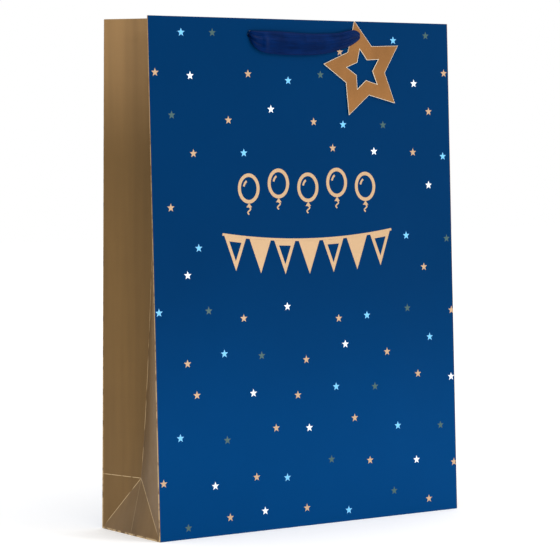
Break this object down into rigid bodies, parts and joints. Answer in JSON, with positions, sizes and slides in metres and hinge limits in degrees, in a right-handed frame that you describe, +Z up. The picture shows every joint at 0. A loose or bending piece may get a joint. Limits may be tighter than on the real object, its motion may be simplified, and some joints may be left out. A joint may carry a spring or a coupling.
{
  "type": "gift bag",
  "caption": "Tall paper gift bag with folded side gussets, satin ribbon handles, a star-shaped tag and a loose base board; stands open to hold a present.",
  "frame": {"origin": "centre of the base on the surface that the bag stands on", "axes": "+Z up from the base to the mouth, -Y out of the front panel, +X to the right as the front is faced"},
  "size_m": [0.33, 0.1, 0.4572],
  "materials": {
    "blue_paper": "royal blue art paper with a smooth satin lamination, stars printed in white, pale blue and foil",
    "gold_paper": "gold metallic printed paper, satin, with pale worn crease lines",
    "inner_paper": "uncoated white inside of the paper, matte",
    "grey_board": "grey recycled board, matte with flecks",
    "satin_ribbon": "navy woven satin ribbon with a soft sheen and woven edges",
    "tag_card": "bronze-gold metallic card, satin, with white cut edges"
  },
  "bodies": {
    "bag": {"front_panel": "blue_paper", "back_panel": "blue_paper", "left_gusset_front": "gold_paper", "left_gusset_rear": "gold_paper", "left_gusset_rear_foot": "gold_paper", "left_gusset_foot": "gold_paper", "right_gusset_front": "gold_paper", "right_gusset_rear": "gold_paper", "right_gusset_rear_foot": "gold_paper", "right_gusset_foot": "gold_paper", "glue_lap": "inner_paper", "front_hem": "blue_paper", "back_hem": "blue_paper", "left_front_hem": "gold_paper", "left_rear_hem": "gold_paper", "right_front_hem": "gold_paper", "right_rear_hem": "gold_paper", "front_hem_strip": "grey_board", "back_hem_strip": "grey_board", "front_base_flap": "inner_paper", "back_base_flap": "inner_paper", "left_base_tuck": "inner_paper", "right_base_tuck": "inner_paper", "front_ribbon_tails": "satin_ribbon", "back_ribbon_tails": "satin_ribbon"},
    "base_board": {"base_board": "grey_board"},
    "front_handle": {"front_ribbon": "satin_ribbon"},
    "back_handle": {"back_ribbon": "satin_ribbon"},
    "tag": {"star_tag": "tag_card"}
  },
  "joints": [
    {"name": "front_handle_swing", "type": "hinge", "parent": "bag", "child": "front_handle", "pos_m": [0, -0.0406, 0.44309], "axis": [-1, 0, 0], "range_deg": [0, 170]},
    {"name": "back_handle_swing", "type": "hinge", "parent": "bag", "child": "back_handle", "pos_m": [0, 0.0406, 0.44309], "axis": [1, 0, 0], "range_deg": [0, 170]},
    {"name": "tag_swing", "type": "hinge", "parent": "bag", "child": "tag", "pos_m": [0.059, -0.0374, 0.443], "axis": [0, -0.9996, 0.0284], "range_deg": [-102, 78]},
    {"name": "base_board_lift", "type": "hinge", "parent": "bag", "child": "base_board", "pos_m": [0, 0.0475, 0.00095], "axis": [-1, 0, 0], "range_deg": [0, 12]}
  ]
}
